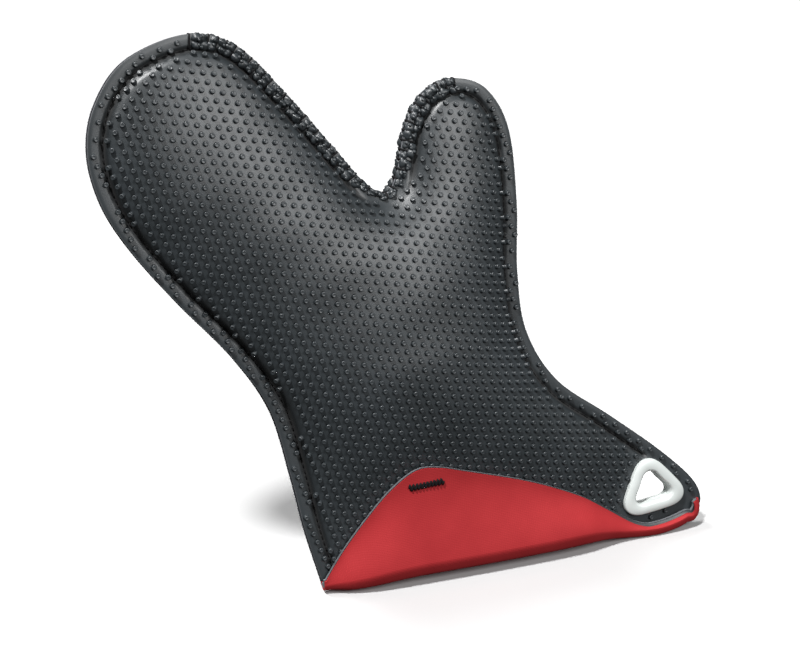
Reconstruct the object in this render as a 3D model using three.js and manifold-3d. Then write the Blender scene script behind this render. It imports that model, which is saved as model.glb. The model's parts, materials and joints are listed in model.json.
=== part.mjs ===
// Oven mitt: two laminated panels (nubbed rubber skin outside, red fabric lining
// inside) sewn together round a flat flange and open at the cuff. The front panel
// is longer at the cuff and is turned up outside, so that it shows its lining.
// Millimetres, +Z up. The mitt stands on its cuff and leans back; the palm faces -Y.
//
// The mitt is laid out in its own flat plane: u runs across the hand, v runs up
// the hand, w stands out of the plane towards the palm side. The group at the end
// turns that plane upright.
import * as THREE from 'three';
import { mergeVertices } from 'three/addons/utils/BufferGeometryUtils.js';
import Module from 'manifold-3d';

const wasm = await Module();
wasm.setup();

// ---- Driving dimensions -------------------------------------------------------
const LEAN = THREE.MathUtils.degToRad(12); // the mitt leans back from upright
const SKIN = 1.9; // nubbed rubber sheet
const LINING = 0.8; // bonded fabric
const BOND = 0.25; // gap between the two layers of a panel
const PARTING = 0.3; // gap between the front and back panels at the flange
const FLANGE = 7.5; // flat sewn border, from the cut edge to the seam
const LIFT = 0.3; // gap between touching pieces

const FRONT = 1;
const BACK = -1;
// How far each panel stands out, as a share of its natural bulge. The front panel is
// nearly flat at the cuff, where its turned-up part stiffens it.
const CUFF_PUFF = { [FRONT]: 0.08, [BACK]: 0.75 };
const HAND_PUFF = { [FRONT]: 0.5, [BACK]: 0.46 };
const PUFF_BLEND = [10, 120]; // v between which one changes into the other
const SEAM_SOFTNESS = 6; // rounds the panels' rise out of the seam

const EDGE_STEP = 8; // spacing of points, and of the edge stitches, along an outline
const CELL = 16; // spacing of points inside a panel
const ROW = CELL * Math.sqrt(3) / 2; // spacing of their rows
const SPARSE = 0.62; // share of a cell kept clear between them and a panel's border
const FIELD = { u: -168, v: -20, wide: 340, tall: 320 }; // ground the rows cover
const STATIONS = 20; // sections along the turned-up cuff

const FOLD_CLEAR = { ends: 3, middle: 9, puff: 3 }; // space inside the cuff's fold
const TUCK = 1.6; // space behind the turned-up cuff's upper edge
const FLAP_LEAST = 2.5; // the turned-up cuff is at least this high
// The cuff stands on its two ends: the front clears the floor between them, dips
// under the ring and curls up again at its very end.
const RISE = { middle: 4, dip: -5, curl: 8 };

const KNUCKLE = { from: [-104, 134], to: [-18, 198.5], half: 12 }; // finger fold
const THUMB_BASE = { from: [-12, 203], to: [61, 185], half: 10 }; // thumb fold
const CROTCH_U = -12; // parts the fingers' side from the thumb's side

const RING = { u: 130.5, v: 24.3, turn: 98, wide: 1.07, tall: 0.94, outer: 15.8, hole: 9, plate: 2.8 };
const CORNERS = { outer: 0.16, barrel: 0.17, hole: 0.19, flat: 0.02 }; // how pointed its outlines are
const BARREL = { wall: 1.4, overlap: 1, sides: 36 };
const TACK = { u: -5.5, v: 51.5, length: 19, height: 3, teeth: 9, radius: 0.45, proud: 0.3 };
const SEAM_THREAD = { radius: 0.6, inside: 1.5, lowest: 14 }; // inside the seam, clear of the cuff
const WHIP = { inset: 4.2, over: 1.2, corner: 0.6, radius: 0.5, lowest: 195 }; // over the cut edge

// Cut edge of both panels, from the left end of the cuff, round the fingers, the
// crotch and the thumb, to the right end of the cuff.
const EDGE = [
  [-61, 3], [-68, 33], [-73, 62], [-81, 98], [-98, 128], [-124, 160], [-145, 189],
  [-157, 213], [-161, 238], [-155, 261], [-138, 281], [-107, 291], [-83, 284],
  [-60, 259], [-36, 228], [-22, 210], [-11, 203], [-4, 213], [3, 237], [15, 253],
  [31, 258], [48, 251], [59, 229], [61, 190], [59, 155], [62, 122], [78, 93],
  [108, 69], [136, 46], [156, 26], [161, 13], [156, 5],
];
// Upper edge of the turned-up cuff, from its left end to its right end.
const FLAP_EDGE = [
  [-59, 8], [-50, 21], [-37, 37], [-24, 51], [-11, 60], [1, 60], [18, 55],
  [54, 43], [83, 30], [101, 19], [119, 8], [135, 4], [151, 6],
];
// Where the seam leaves the edge and goes round the ring's flat corner.
const RING_SEAM = [[116, 46], [108, 24], [105, 2], [105, -24]];
const RING_CORNER = [104, 58]; // the seam follows the edge outside this corner

const BLACK = { color: 0x3b4042, roughness: 0.62, metalness: 0 };
const RED = { color: 0xb92f38, roughness: 0.8, metalness: 0 };
const THREAD = { color: 0x17181a, roughness: 0.7, metalness: 0 };
const WHITE = { color: 0xe9e9e5, roughness: 0.35, metalness: 0 };

// ---- Plane geometry -----------------------------------------------------------
const vec = ([u, v]) => new THREE.Vector2(u, v);
const spline = (points) => new THREE.SplineCurve(points.map(vec));
const edgeCurve = spline(EDGE);
const edge = edgeCurve.getSpacedPoints(Math.round(edgeCurve.getLength() / EDGE_STEP));

function inside(point, polygon) {
  let hit = false;
  polygon.forEach((a, i) => {
    const b = polygon[(i + 1) % polygon.length];
    if ((a.y > point.y) === (b.y > point.y)) return;
    if (point.x < a.x + ((point.y - a.y) / (b.y - a.y)) * (b.x - a.x)) hit = !hit;
  });
  return hit;
}

// The line moved sideways: to its right-hand side, which is the inside of the mitt.
function offset(line, distance) {
  return line.map((point, i) => {
    const before = line[Math.max(i - 1, 0)];
    const after = line[Math.min(i + 1, line.length - 1)];
    const along = after.clone().sub(before).normalize();
    return new THREE.Vector2(point.x + along.y * distance, point.y - along.x * distance);
  });
}

function seamLine() {
  const follow = offset(edge, FLANGE);
  const corner = follow.findIndex((p) => p.x > RING_CORNER[0] && p.y < RING_CORNER[1]);
  const kept = follow.slice(1, corner);
  const turn = spline([[kept.at(-1).x, kept.at(-1).y], ...RING_SEAM]);
  const steps = Math.round(turn.getLength() / EDGE_STEP);
  return [...kept, ...turn.getSpacedPoints(steps).slice(1)];
}
const seam = seamLine();

// ---- How far the panels bulge -------------------------------------------------
// Each panel bulges like a membrane held along the seam and free at the cuff.
const GRID = { u: -170, v: -25, step: 5, columns: 69, rows: 65 };
const SWEEPS = 500;
const OVER_RELAX = 1.85;

function membrane() {
  const { columns, rows, step } = GRID;
  const bag = [new THREE.Vector2(seam[0].x + 2, GRID.v - step), ...seam];
  bag.push(new THREE.Vector2(seam.at(-1).x, GRID.v - step));
  const free = [];
  const height = new Float64Array(columns * rows);
  for (let r = 0; r < rows; r += 1) {
    for (let c = 1; c < columns - 1; c += 1) {
      const node = new THREE.Vector2(GRID.u + c * step, GRID.v + r * step);
      if (inside(node, bag)) free.push([r, c]);
    }
  }
  for (let sweep = 0; sweep < SWEEPS; sweep += 1) {
    for (const [r, c] of free) {
      const at = r * columns + c;
      const below = r > 0 ? at - columns : at + columns;
      const around = height[at - 1] + height[at + 1] + height[at + columns] + height[below];
      height[at] += OVER_RELAX * ((around + step * step) / 4 - height[at]);
    }
  }
  return height;
}
const bulge = membrane();

function sampleBulge(u, v) {
  const x = THREE.MathUtils.clamp((u - GRID.u) / GRID.step, 0, GRID.columns - 1.001);
  const y = THREE.MathUtils.clamp((v - GRID.v) / GRID.step, 0, GRID.rows - 1.001);
  const c = Math.floor(x);
  const r = Math.floor(y);
  const at = (row, column) => bulge[row * GRID.columns + column];
  const low = THREE.MathUtils.lerp(at(r, c), at(r, c + 1), x - c);
  const high = THREE.MathUtils.lerp(at(r + 1, c), at(r + 1, c + 1), x - c);
  return THREE.MathUtils.lerp(low, high, y - r);
}

// Height of a panel's inner face above the middle plane.
function puff(u, v, side) {
  const share = THREE.MathUtils.smoothstep(v, ...PUFF_BLEND);
  const strength = THREE.MathUtils.lerp(CUFF_PUFF[side], HAND_PUFF[side], share);
  const soft = SEAM_SOFTNESS * SEAM_SOFTNESS;
  return strength * (Math.sqrt(sampleBulge(u, v) + soft) - SEAM_SOFTNESS);
}

// A sloping panel is thicker measured along w than square to its face.
const PROBE = 3;
const STEEPEST = 1.7;

function steepness(u, v, side) {
  const du = (puff(u + PROBE, v, side) - puff(u - PROBE, v, side)) / (2 * PROBE);
  const dv = (puff(u, v + PROBE, side) - puff(u, v - PROBE, side)) / (2 * PROBE);
  return Math.min(STEEPEST, Math.hypot(1, du, dv));
}
const PANEL = LINING + BOND + SKIN;
const outerFace = (u, v, side) => PARTING / 2 + puff(u, v, side) + PANEL * steepness(u, v, side);

// ---- The cuff's two edges -----------------------------------------------------
const slope = Math.tan(LEAN);
const rise = (u) => RISE.middle * THREE.MathUtils.smoothstep(u, -60, -10)
  + RISE.dip * THREE.MathUtils.smoothstep(u, 90, 125)
  + RISE.curl * THREE.MathUtils.smoothstep(u, 140, 162);

function foldClear(u) {
  const share = THREE.MathUtils.smoothstep(puff(u, 0, FRONT), 0, FOLD_CLEAR.puff);
  return THREE.MathUtils.lerp(FOLD_CLEAR.ends, FOLD_CLEAR.middle, share);
}
const foldRadius = (u) => foldClear(u) / 2 + PANEL * steepness(u, 0, FRONT);
// The front panel's fold and the back panel's edge both come down to the floor.
const foldCentre = (u) => outerFace(u, 0, FRONT) + foldClear(u) / 2;
const foldLine = (u) => rise(u) + LIFT + foldRadius(u) - foldCentre(u) * slope;
const backEdge = (u) => outerFace(u, 0, BACK) * slope;

const stations = spline(FLAP_EDGE).getSpacedPoints(STATIONS);
const cuffLine = (height) => stations.map((p) => new THREE.Vector2(p.x, height(p.x)));

// ---- Solids -------------------------------------------------------------------
function bodyFrom(positions, index) {
  const geometry = new THREE.BufferGeometry();
  geometry.setAttribute('position', new THREE.Float32BufferAttribute(positions, 3));
  geometry.setIndex(index);
  return solidFrom(geometry);
}

function solidFrom(geometry) {
  const bare = geometry.clone();
  bare.deleteAttribute('normal');
  bare.deleteAttribute('uv');
  const merged = mergeVertices(bare, 1e-4);
  const mesh = new wasm.Mesh({
    numProp: 3,
    vertProperties: new Float32Array(merged.attributes.position.array),
    triVerts: new Uint32Array(merged.index.array),
  });
  return new wasm.Manifold(mesh);
}

function geometryOf(solid) {
  const mesh = solid.getMesh();
  const geometry = new THREE.BufferGeometry();
  const positions = new THREE.Float32BufferAttribute(mesh.vertProperties, 3);
  geometry.setAttribute('position', positions);
  geometry.setIndex(new THREE.Uint32BufferAttribute(mesh.triVerts, 1));
  geometry.computeVertexNormals();
  return geometry;
}

// The circle through three points.
function circleThrough(p, q, r) {
  const [pp, qq, rr] = [p.lengthSq(), q.lengthSq(), r.lengthSq()];
  const d = 2 * (p.x * (q.y - r.y) + q.x * (r.y - p.y) + r.x * (p.y - q.y));
  const x = (pp * (q.y - r.y) + qq * (r.y - p.y) + rr * (p.y - q.y)) / d;
  const y = (pp * (r.x - q.x) + qq * (p.x - r.x) + rr * (q.x - p.x)) / d;
  return { x, y, reach: Math.hypot(p.x - x, p.y - y) };
}

// Delaunay triangles of a set of points, by adding them one at a time.
const FAR = 4000;

function triangulate(points) {
  const all = [...points, ...[[-FAR, -FAR], [FAR, -FAR], [0, FAR]].map(vec)];
  const n = points.length;
  const circle = (...abc) => ({ abc, ...circleThrough(...abc.map((k) => all[k])) });
  let triangles = [circle(n, n + 1, n + 2)];
  for (let i = 0; i < n; i += 1) {
    const hole = new Map();
    triangles = triangles.filter((t) => {
      if (Math.hypot(all[i].x - t.x, all[i].y - t.y) > t.reach) return true;
      t.abc.forEach((a, k) => {
        const b = t.abc[(k + 1) % 3];
        if (!hole.delete(`${b},${a}`)) hole.set(`${a},${b}`, [a, b]);
      });
      return false;
    });
    for (const [a, b] of hole.values()) triangles.push(circle(a, b, i));
  }
  return triangles.map((t) => t.abc).filter((abc) => abc.every((k) => k < n));
}

// Rows of points inside the border, clear of the fixed ones.
const WOBBLE = 0.01; // keeps any four points off one circle

function filling(border, fixed) {
  const kept = [];
  for (let row = 0; row * ROW < FIELD.tall; row += 1) {
    for (let column = 0; column * CELL < FIELD.wide; column += 1) {
      const shift = (row % 2 ? CELL / 2 : 0) + WOBBLE * ((row * 7 + column * 3) % 5);
      const p = new THREE.Vector2(FIELD.u + column * CELL + shift, FIELD.v + row * ROW);
      const clear = fixed.every((q) => q.distanceTo(p) > CELL * SPARSE);
      if (clear && inside(p, border)) kept.push(p);
    }
  }
  return kept;
}

// Points over a panel whose cuff ends on the given line, with their triangles.
function panelMesh(cuff) {
  const above = (p, margin) => {
    const near = cuff.reduce((a, b) => (Math.abs(b.x - p.x) < Math.abs(a.x - p.x) ? b : a));
    return p.y > near.y + margin;
  };
  const sides = edge.filter((p) => above(p, EDGE_STEP / 3));
  const border = [...sides, ...[...cuff].reverse()];
  const sewn = seam.filter((p) => above(p, EDGE_STEP / 2));
  const fixed = [...border, ...sewn];
  const points = [...fixed, ...filling(border, fixed)];
  const centre = ([a, b, c]) => points[a].clone().add(points[b]).add(points[c]).divideScalar(3);
  const triangles = triangulate(points).filter((abc) => inside(centre(abc), border));
  const flat = points.map((p, i) => i < sides.length || (i >= border.length && i < fixed.length));
  return { points, triangles, flat };
}

// One layer of a panel: side is +1 for the front and -1 for the back, and from and
// to are its two faces, counted from the panel's inner face.
function layer({ points, triangles, flat }, side, from, to) {
  const positions = [];
  for (const depth of [from, to]) {
    points.forEach((p, i) => {
      const height = flat[i] ? depth : puff(p.x, p.y, side) + depth * steepness(p.x, p.y, side);
      positions.push(p.x, p.y, side * (PARTING / 2 + height));
    });
  }
  const n = points.length;
  const edges = new Map();
  const index = [];
  for (const [a, b, c] of triangles) {
    index.push(a + n, b + n, c + n, a, c, b);
    for (const [p, q] of [[a, b], [b, c], [c, a]]) {
      if (!edges.delete(`${q},${p}`)) edges.set(`${p},${q}`, [p, q]);
    }
  }
  for (const [p, q] of edges.values()) index.push(p, q, q + n, p, q + n, p + n);
  return bodyFrom(positions, side === FRONT ? index : index.reverse());
}

// A thick sheet between two grids of points, faces[0] inside and faces[1] outside.
function sheet(faces) {
  const rows = faces[0].length;
  const columns = faces[0][0].length;
  const positions = faces.flat(2).flatMap((p) => p.toArray());
  const at = (face, r, c) => (face * rows + r) * columns + c;
  const index = [];
  const quad = (a, b, c, d) => index.push(a, c, b, a, d, c);
  for (let r = 0; r < rows - 1; r += 1) {
    for (let c = 0; c < columns - 1; c += 1) {
      quad(at(1, r, c), at(1, r, c + 1), at(1, r + 1, c + 1), at(1, r + 1, c));
      quad(at(0, r, c), at(0, r + 1, c), at(0, r + 1, c + 1), at(0, r, c + 1));
    }
    const last = columns - 1;
    quad(at(0, r, 0), at(1, r, 0), at(1, r + 1, 0), at(0, r + 1, 0));
    quad(at(0, r, last), at(0, r + 1, last), at(1, r + 1, last), at(1, r, last));
  }
  for (let c = 0; c < columns - 1; c += 1) {
    const last = rows - 1;
    quad(at(0, 0, c), at(0, 0, c + 1), at(1, 0, c + 1), at(1, 0, c));
    quad(at(0, last, c), at(1, last, c), at(1, last, c + 1), at(0, last, c + 1));
  }
  return bodyFrom(positions, index);
}

// A round thread through the points, with a flat cap at each end.
function thread(points, radius, sides = 5) {
  const rings = points.map((point, i) => {
    const before = points[Math.max(i - 1, 0)];
    const after = points[Math.min(i + 1, points.length - 1)];
    const along = after.clone().sub(before).normalize();
    return { point, along };
  });
  let across = new THREE.Vector3(0, 0, 1);
  const positions = [];
  for (const { point, along } of rings) {
    across = across.clone().addScaledVector(along, -across.dot(along)).normalize();
    const third = along.clone().cross(across);
    for (let k = 0; k < sides; k += 1) {
      const angle = (2 * Math.PI * k) / sides;
      const p = point.clone().addScaledVector(across, radius * Math.cos(angle));
      positions.push(...p.addScaledVector(third, radius * Math.sin(angle)).toArray());
    }
  }
  const index = [];
  for (let i = 0; i < rings.length - 1; i += 1) {
    for (let k = 0; k < sides; k += 1) {
      const [a, b] = [i * sides + k, i * sides + ((k + 1) % sides)];
      index.push(a, b, b + sides, a, b + sides, a + sides);
    }
  }
  const end = (rings.length - 1) * sides;
  for (let k = 1; k < sides - 1; k += 1) index.push(0, k + 1, k, end, end + k, end + k + 1);
  return bodyFrom(positions, index);
}

// A flat plate of the given outline between two heights.
function plate(outline, low, high) {
  const geometry = new THREE.ExtrudeGeometry(new THREE.Shape(outline), {
    depth: high - low, bevelEnabled: false, steps: 1,
  });
  return solidFrom(geometry.translate(0, 0, low));
}

// ---- Regions: which piece of cloth belongs to which moving part ----------------
const REACH = 400;

function foldFrame({ from, to }) {
  const along = vec(to).sub(vec(from)).normalize();
  const middle = vec(from).add(vec(to)).multiplyScalar(0.5);
  return { middle, along, up: new THREE.Vector2(-along.y, along.x) };
}

// Everything further up the hand than a fold line moved up by distance.
function beyond(fold, distance) {
  const { middle, along, up } = foldFrame(fold);
  const centre = middle.clone().addScaledVector(up, distance + REACH / 2);
  const box = new THREE.BoxGeometry(REACH * 2, REACH, REACH);
  box.rotateZ(Math.atan2(along.y, along.x)).translate(centre.x, centre.y, 0);
  return solidFrom(box);
}

function sideOfCrotch(side, gap) {
  const box = new THREE.BoxGeometry(REACH, REACH * 2, REACH);
  return solidFrom(box.translate(CROTCH_U + side * (REACH / 2 + gap), 0, 0));
}

const heightOver = (fold, p) => {
  const { middle, up } = foldFrame(fold);
  return p.clone().sub(middle).dot(up);
};

function regionOf(p) {
  const [fold, name] = p.x < CROTCH_U ? [KNUCKLE, 'fingers'] : [THUMB_BASE, 'thumb'];
  const height = heightOver(fold, p);
  if (height > fold.half + 1) return name;
  return height > -fold.half ? 'fold' : 'palm';
}

const half = LIFT / 2;
const fingersSide = sideOfCrotch(-1, half);
const thumbSide = sideOfCrotch(1, half);
const split = {
  fingers: (cloth) => cloth.intersect(beyond(KNUCKLE, KNUCKLE.half + LIFT)).intersect(fingersSide),
  thumb: (cloth) => cloth.intersect(beyond(THUMB_BASE, THUMB_BASE.half + LIFT)).intersect(thumbSide),
  knuckle_fold: (cloth) => cloth.intersect(beyond(KNUCKLE, -KNUCKLE.half))
    .subtract(beyond(KNUCKLE, KNUCKLE.half)).intersect(fingersSide),
  thumb_fold: (cloth) => cloth.intersect(beyond(THUMB_BASE, -THUMB_BASE.half))
    .subtract(beyond(THUMB_BASE, THUMB_BASE.half)).intersect(thumbSide),
  palm: (cloth) => cloth
    .subtract(beyond(KNUCKLE, -KNUCKLE.half - LIFT).intersect(sideOfCrotch(-1, -half)))
    .subtract(beyond(THUMB_BASE, -THUMB_BASE.half - LIFT).intersect(sideOfCrotch(1, -half))),
};

// ---- The turned-up cuff -------------------------------------------------------
// One layer of the front panel's cuff: down the palm, round the fold and up again
// outside. inner and outer are the layer's faces, counted from the fold's inside.
const FOLD_STEPS = 6;
const FLAP_STEPS = 4;

// A point of the turned-up part: share runs from 0 at the fold to 1 at its upper edge.
function flapPoint(u, top, share, depth) {
  const fold = foldLine(u) - LIFT;
  const v = THREE.MathUtils.lerp(fold, Math.max(top, fold + FLAP_LEAST), share);
  const space = THREE.MathUtils.lerp(foldClear(u), TUCK, THREE.MathUtils.smoothstep(share, 0, 1));
  return new THREE.Vector3(u, v, outerFace(u, v, FRONT) + space + depth * steepness(u, fold, FRONT));
}

function turnUpFace(station, depth) {
  const u = station.x;
  const v = foldLine(u) - LIFT;
  const radius = foldClear(u) / 2 + depth * steepness(u, v, FRONT);
  const centre = outerFace(u, v, FRONT) + foldClear(u) / 2;
  const path = [];
  for (let k = 0; k <= FOLD_STEPS; k += 1) {
    const angle = Math.PI * (1 + k / FOLD_STEPS);
    path.push(new THREE.Vector3(u, v + radius * Math.sin(angle), centre + radius * Math.cos(angle)));
  }
  for (let k = 1; k <= FLAP_STEPS; k += 1) path.push(flapPoint(u, station.y, k / FLAP_STEPS, depth));
  return path;
}

const turnUp = (inner, outer) =>
  sheet([inner, outer].map((depth) => stations.map((s) => turnUpFace(s, depth))));

// ---- The hanging ring ---------------------------------------------------------
// A rounded triangle about the ring's middle.
function triangle(size, sharpness) {
  const start = THREE.MathUtils.degToRad(RING.turn);
  return Array.from({ length: BARREL.sides }, (_, k) => {
    const angle = (2 * Math.PI * k) / BARREL.sides;
    const corner = 3 * (angle - start);
    const r = size * (1 + sharpness * Math.cos(corner) + CORNERS.flat * Math.cos(2 * corner));
    const [across, up] = [r * RING.wide * Math.cos(angle), r * RING.tall * Math.sin(angle)];
    return new THREE.Vector2(RING.u + across, RING.v + up);
  });
}

const flangeTop = PARTING / 2 + PANEL;
const plateLow = flangeTop + LIFT;
const plateHigh = plateLow + RING.plate;

// The hole through the panels that the ring's barrel passes through.
function ringSeat() {
  return plate(triangle(RING.hole + BARREL.wall + LIFT, CORNERS.barrel), -REACH, REACH);
}

// The front half carries the barrel; the back half sits round its end.
function ringFront() {
  const barrel = triangle(RING.hole + BARREL.wall, CORNERS.barrel);
  return plate(triangle(RING.outer, CORNERS.outer), plateLow, plateHigh)
    .add(plate(barrel, BARREL.overlap - plateHigh, BARREL.overlap + plateLow))
    .subtract(plate(triangle(RING.hole, CORNERS.hole), -REACH, REACH));
}

function ringBack() {
  return plate(triangle(RING.outer, CORNERS.outer), -plateHigh, -plateLow).subtract(ringSeat());
}

// ---- Threads ------------------------------------------------------------------
const lay = (p, w) => new THREE.Vector3(p.x, p.y, w);

function seamThread(side, keep) {
  const groove = offset(seam, -SEAM_THREAD.inside);
  const height = side * (flangeTop + LIFT + SEAM_THREAD.radius);
  const run = groove.filter((p) => keep(p) && p.y > SEAM_THREAD.lowest);
  return thread(run.map((p) => lay(p, height)), SEAM_THREAD.radius);
}

// Thread that goes to and fro over the cut edge, between two places on it.
function edgeThread(keep) {
  const rest = flangeTop + LIFT + WHIP.radius;
  const side = [[WHIP.inset, rest], [-WHIP.corner, rest], [-WHIP.over, rest / 2]];
  const profile = [...side, ...side.map(([inset, w]) => [inset, -w]).reverse()];
  const rows = profile.map(([inset]) => offset(edge, inset));
  const path = [];
  edge.forEach((p, i) => {
    if (!keep(p)) return;
    const turn = profile.map(([, w], k) => lay(rows[k][i], w));
    path.push(...(i % 2 ? turn.reverse() : turn));
  });
  return thread(path, WHIP.radius);
}

const fingerTop = vec(EDGE[11]);
const thumbTop = vec(EDGE[20]);
const whipped = (p) => p.x > fingerTop.x && p.x < thumbTop.x && p.y > WHIP.lowest;

function tackThread() {
  const path = [];
  const steps = TACK.teeth * 4;
  for (let k = 0; k <= steps; k += 1) {
    const u = TACK.u + TACK.length * (k / steps - 0.5);
    const v = TACK.v + (TACK.height / 2) * Math.sin((Math.PI / 2) * k);
    const near = stations.find((s) => s.x > u);
    const share = (v - foldLine(u)) / (near.y - foldLine(u));
    path.push(flapPoint(u, near.y, share, PANEL + LIFT + TACK.radius + TACK.proud));
  }
  return thread(path, TACK.radius);
}

// ---- Assembly -----------------------------------------------------------------
const mitt = new THREE.Group();

function add(name, solid, look) {
  const mesh = new THREE.Mesh(geometryOf(solid), new THREE.MeshStandardMaterial(look));
  mesh.name = name;
  mitt.add(mesh);
}

const seat = ringSeat();
const layers = {
  lining: { faces: [0, LINING], look: RED },
  skin: { faces: [LINING + BOND, PANEL], look: BLACK },
};
const panels = {
  front: { mesh: panelMesh(cuffLine(foldLine)), side: FRONT },
  back: { mesh: panelMesh(cuffLine(backEdge)), side: BACK },
};

for (const [panelName, panel] of Object.entries(panels)) {
  for (const [layerName, { faces, look }] of Object.entries(layers)) {
    const cloth = layer(panel.mesh, panel.side, ...faces).subtract(seat);
    for (const [part, cut] of Object.entries(split)) {
      add(`${part}_${layerName}_${panelName}`, cut(cloth), look);
    }
  }
}

for (const [layerName, { faces, look }] of Object.entries(layers)) {
  add(`turned_cuff_${layerName}`, turnUp(PANEL - faces[1], PANEL - faces[0]), look);
}
add('hanging_ring_front', ringFront(), WHITE);
add('hanging_ring_back', ringBack(), WHITE);

const parts = {
  palm_left: (p) => regionOf(p) !== 'fingers' && p.x < -60,
  fingers: (p) => regionOf(p) === 'fingers',
  crotch: (p) => regionOf(p) === 'fold' && Math.abs(p.x - CROTCH_U) < 30,
  thumb: (p) => regionOf(p) === 'thumb',
  palm_right: (p) => regionOf(p) !== 'thumb' && p.x > 40,
};
for (const [place, keep] of Object.entries(parts)) {
  add(`${place}_seam_thread_front`, seamThread(FRONT, keep), THREAD);
  add(`${place}_seam_thread_back`, seamThread(BACK, keep), THREAD);
}
for (const place of ['fingers', 'crotch', 'thumb']) {
  add(`${place}_edge_thread`, edgeThread((p) => whipped(p) && parts[place](p)), THREAD);
}
add('cuff_bartack', tackThread(), THREAD);

// Turn the flat plane upright, leaning back, and set the mitt on the floor with
// its box centred over the origin.
mitt.rotation.x = Math.PI / 2 - LEAN;
mitt.updateMatrixWorld(true);
const box = new THREE.Box3().setFromObject(mitt, true);
const middle = box.getCenter(new THREE.Vector3());
mitt.position.set(-middle.x, -middle.y, -box.min.z);

export default mitt;
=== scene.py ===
"""Looks of a thumbed oven mitt: nubbed black rubber outside, red knitted lining inside.

The mitt is laid out in its own flat plane, in millimetres: u runs across the hand, v up
the hand, w out of the plane towards the palm side. place() turns that into the frame.
"""

import json
import math

import bpy
import numpy as np
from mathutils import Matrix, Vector
from mathutils.geometry import delaunay_2d_cdt


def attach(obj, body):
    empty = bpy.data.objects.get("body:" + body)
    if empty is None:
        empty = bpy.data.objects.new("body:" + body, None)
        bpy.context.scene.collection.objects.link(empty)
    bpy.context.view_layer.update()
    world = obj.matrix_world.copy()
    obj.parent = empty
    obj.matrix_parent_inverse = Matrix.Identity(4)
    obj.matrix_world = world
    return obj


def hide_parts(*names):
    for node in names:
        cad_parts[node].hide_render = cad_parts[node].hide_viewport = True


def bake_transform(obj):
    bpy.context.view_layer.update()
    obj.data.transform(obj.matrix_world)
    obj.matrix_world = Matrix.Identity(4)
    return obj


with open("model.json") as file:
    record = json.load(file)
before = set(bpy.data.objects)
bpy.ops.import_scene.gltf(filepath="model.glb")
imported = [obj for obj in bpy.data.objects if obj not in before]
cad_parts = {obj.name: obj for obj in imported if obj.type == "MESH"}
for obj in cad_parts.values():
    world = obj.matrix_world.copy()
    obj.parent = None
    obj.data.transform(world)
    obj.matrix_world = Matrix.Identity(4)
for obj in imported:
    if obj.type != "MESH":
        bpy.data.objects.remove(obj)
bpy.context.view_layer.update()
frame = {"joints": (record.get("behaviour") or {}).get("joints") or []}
MM = 0.001

# ---- Driving dimensions, in millimetres, as in the CAD
LEAN = math.radians(12)
SKIN = 1.9
LINING = 0.8
BOND = 0.25
PARTING = 0.3
FLANGE = 7.5
LIFT = 0.3
PANEL = LINING + BOND + SKIN

FRONT, BACK = 1, -1
CUFF_PUFF = {FRONT: 0.08, BACK: 0.75}
HAND_PUFF = {FRONT: 0.5, BACK: 0.46}
PUFF_BLEND = (10, 120)
SEAM_SOFTNESS = 6
FOLD_CLEAR = {"ends": 3, "middle": 9, "puff": 3}
TUCK = 1.6
FLAP_LEAST = 2.5
RISE = {"middle": 4, "dip": -5, "curl": 8}

KNUCKLE = {"from": (-104, 134), "to": (-18, 198.5), "half": 12}
THUMB_BASE = {"from": (-12, 203), "to": (61, 185), "half": 10}
CROTCH_U = -12
CROTCH = (-11, 203)

RING = {"u": 130.5, "v": 24.3, "turn": 98, "wide": 1.07, "tall": 0.94}
RING_SIZE = {"outer": 15.8, "hole": 9, "plate": 2.8, "barrel": 10.4}
TACK = {"u": -5.5, "v": 51.5, "length": 19, "height": 3.4}

EDGE = [
    (-61, 3), (-68, 33), (-73, 62), (-81, 98), (-98, 128), (-124, 160), (-145, 189),
    (-157, 213), (-161, 238), (-155, 261), (-138, 281), (-107, 291), (-83, 284),
    (-60, 259), (-36, 228), (-22, 210), (-11, 203), (-4, 213), (3, 237), (15, 253),
    (31, 258), (48, 251), (59, 229), (61, 190), (59, 155), (62, 122), (78, 93),
    (108, 69), (136, 46), (156, 26), (161, 13), (156, 5),
]
FLAP_EDGE = [
    (-59, 8), (-50, 21), (-37, 37), (-24, 51), (-11, 60), (1, 60), (18, 55),
    (54, 43), (83, 30), (101, 19), (119, 8), (135, 4), (151, 6),
]
RING_SEAM = [(116, 46), (108, 24), (105, 2), (105, -24)]
RING_CORNER = (104, 58)

# ---- Sizes of what only shows here
PEG = {"pitch": 5.4, "turn": math.radians(-13), "radius": 1.38, "height": 2.0, "sides": 9}
ROW_SQUEEZE = 0.9  # the rows of pegs stand closer than an even lattice has them
PEG_CLEAR = {"edge": 1.7, "groove": 1.45, "gather": 1.2, "cuff": 3, "ring": 2.2, "lip": 2.0}
GROOVE = {"depth": 1.9, "width": 1.3, "shade": 0.6, "over_ring": 16}
# The sewn-over band, which is narrowest at the crotch
GATHER = {"narrow": 4.4, "wide": 7.4, "from": 5, "to": 24}
ROUNDED = {"reach": 0.8, "drop": 0.35}
WAVES = 0.45  # how uneven the panels are
SEAT = RING_SIZE["barrel"] + LIFT  # the hole in the panels that the ring sits in
SHARP = {"outer": 0.16, "hole": 0.19, "barrel": 0.17}  # how three-cornered each outline is
STEEPEST = 1.7  # the most that a slope adds to a panel's thickness
THINNEST = 0.5  # the rubber under the groove
NEAR_SEAM = {"unknown": 5, "blend": (6, 13), "rounds": 12}
SOFTENED = {"rounds": 40, "span": (14, 34)}  # the bulge is evened out this near the crotch


# ---- The mitt's plane
def place(points):
    """Points (u, v, w) of the mitt in millimetres, as points of the frame in metres."""
    axes = np.array([
        (1, 0, 0),
        (0, math.sin(LEAN), math.cos(LEAN)),
        (0, -math.cos(LEAN), math.sin(LEAN)),
    ])
    return ORIGIN + np.asarray(points, float) @ axes * MM


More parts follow.
